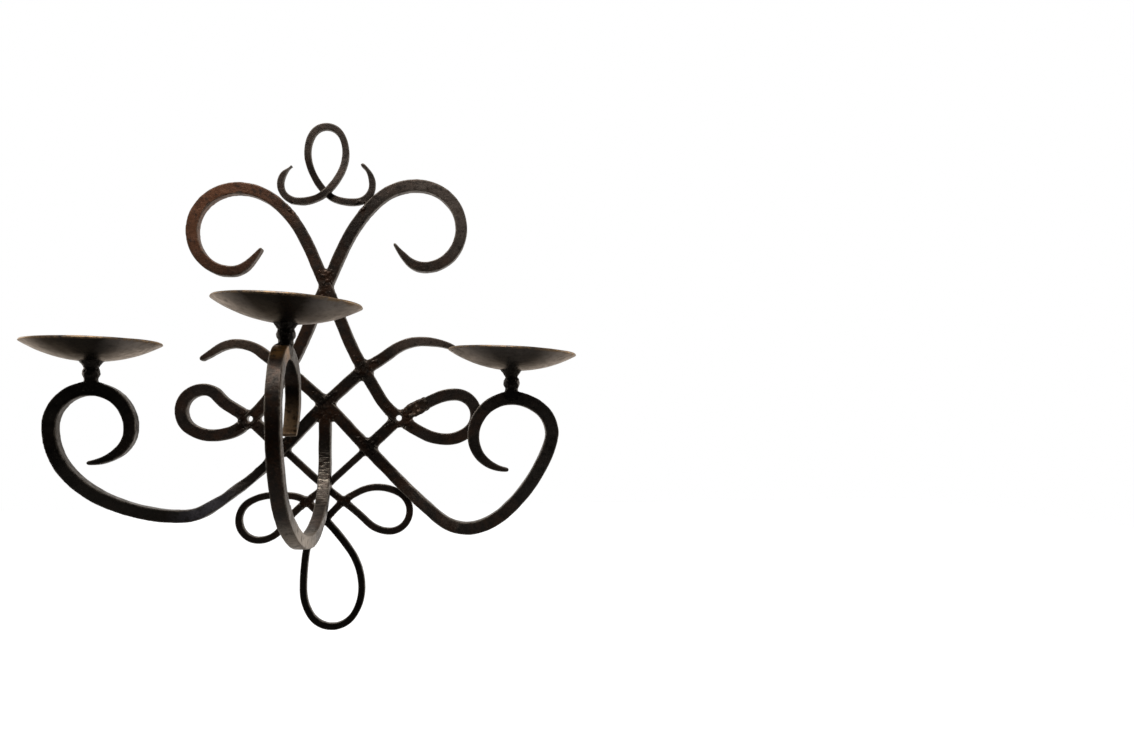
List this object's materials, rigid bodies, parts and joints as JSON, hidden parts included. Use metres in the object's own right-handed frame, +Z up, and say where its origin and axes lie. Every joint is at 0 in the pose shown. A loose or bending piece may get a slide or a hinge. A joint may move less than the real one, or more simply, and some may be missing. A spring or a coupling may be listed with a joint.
{
  "type": "wall candle sconce",
  "caption": "Wall candle sconce of bent and welded square wrought bar, with a scrolled frame and shallow candle pans on spiral arms",
  "frame": {"origin": "midway between the two screw holes, on the plane of the wall", "axes": "+Z up, -Y out from the wall into the room, +X to the right of someone who faces the wall"},
  "size_m": [0.462, 0.293, 0.4894],
  "materials": {
    "forged_bar": "forged and waxed",
    "forged_thin_bar": "forged and waxed",
    "pan_iron": "worn to a dull sheen",
    "stem_iron": "forged and waxed"
  },
  "bodies": {
    "root": {"scroll_bar_left": "forged_bar", "scroll_bar_right": "forged_bar", "brace_left": "forged_bar", "horn_left": "forged_bar", "horn_right": "forged_bar", "side_loop_left": "forged_bar", "side_loop_right": "forged_bar", "arm_right": "forged_bar", "arm_left": "forged_bar", "cross_bar": "forged_bar", "strut_left": "forged_bar", "strut_right": "forged_bar", "arm_centre": "forged_bar", "tie_long": "forged_thin_bar", "tie_right": "forged_thin_bar", "tie_left": "forged_thin_bar", "curl_left": "forged_thin_bar", "curl_right": "forged_thin_bar", "link_right": "forged_thin_bar", "link_left": "forged_thin_bar", "teardrop": "forged_thin_bar", "crown": "forged_thin_bar", "pan_left": "pan_iron", "pan_centre": "pan_iron", "pan_right": "pan_iron", "stem_left": "stem_iron", "stem_centre": "stem_iron", "stem_right": "stem_iron"}
  },
  "joints": []
}
